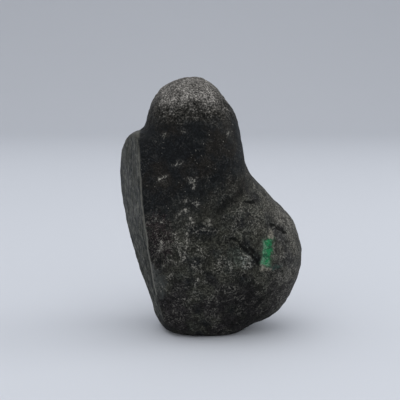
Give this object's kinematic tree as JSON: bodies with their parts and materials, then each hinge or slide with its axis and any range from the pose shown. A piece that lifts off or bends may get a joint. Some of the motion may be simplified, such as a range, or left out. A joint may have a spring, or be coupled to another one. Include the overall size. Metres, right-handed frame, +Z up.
{
  "type": "raw jade boulder",
  "caption": "River-worn cobble of jadeite rough: upright grey-black stone with a rounded crown, a bulging side lobe, a split side, a flat foot and a small ground window showing green.",
  "frame": {"origin": "under the middle of the stone, on the surface that it stands on", "axes": "+Z up from the foot to the crown, -Y towards the viewer facing the ground window, +X to that viewer's right"},
  "size_m": [0.1096, 0.0754, 0.1508],
  "materials": {
    "rough_jade": "weathered, sandy to waxy dull skin; grey-black with pale crusty flecks and one small green ground window"
  },
  "bodies": {
    "root": {"boulder": "rough_jade"}
  },
  "joints": []
}
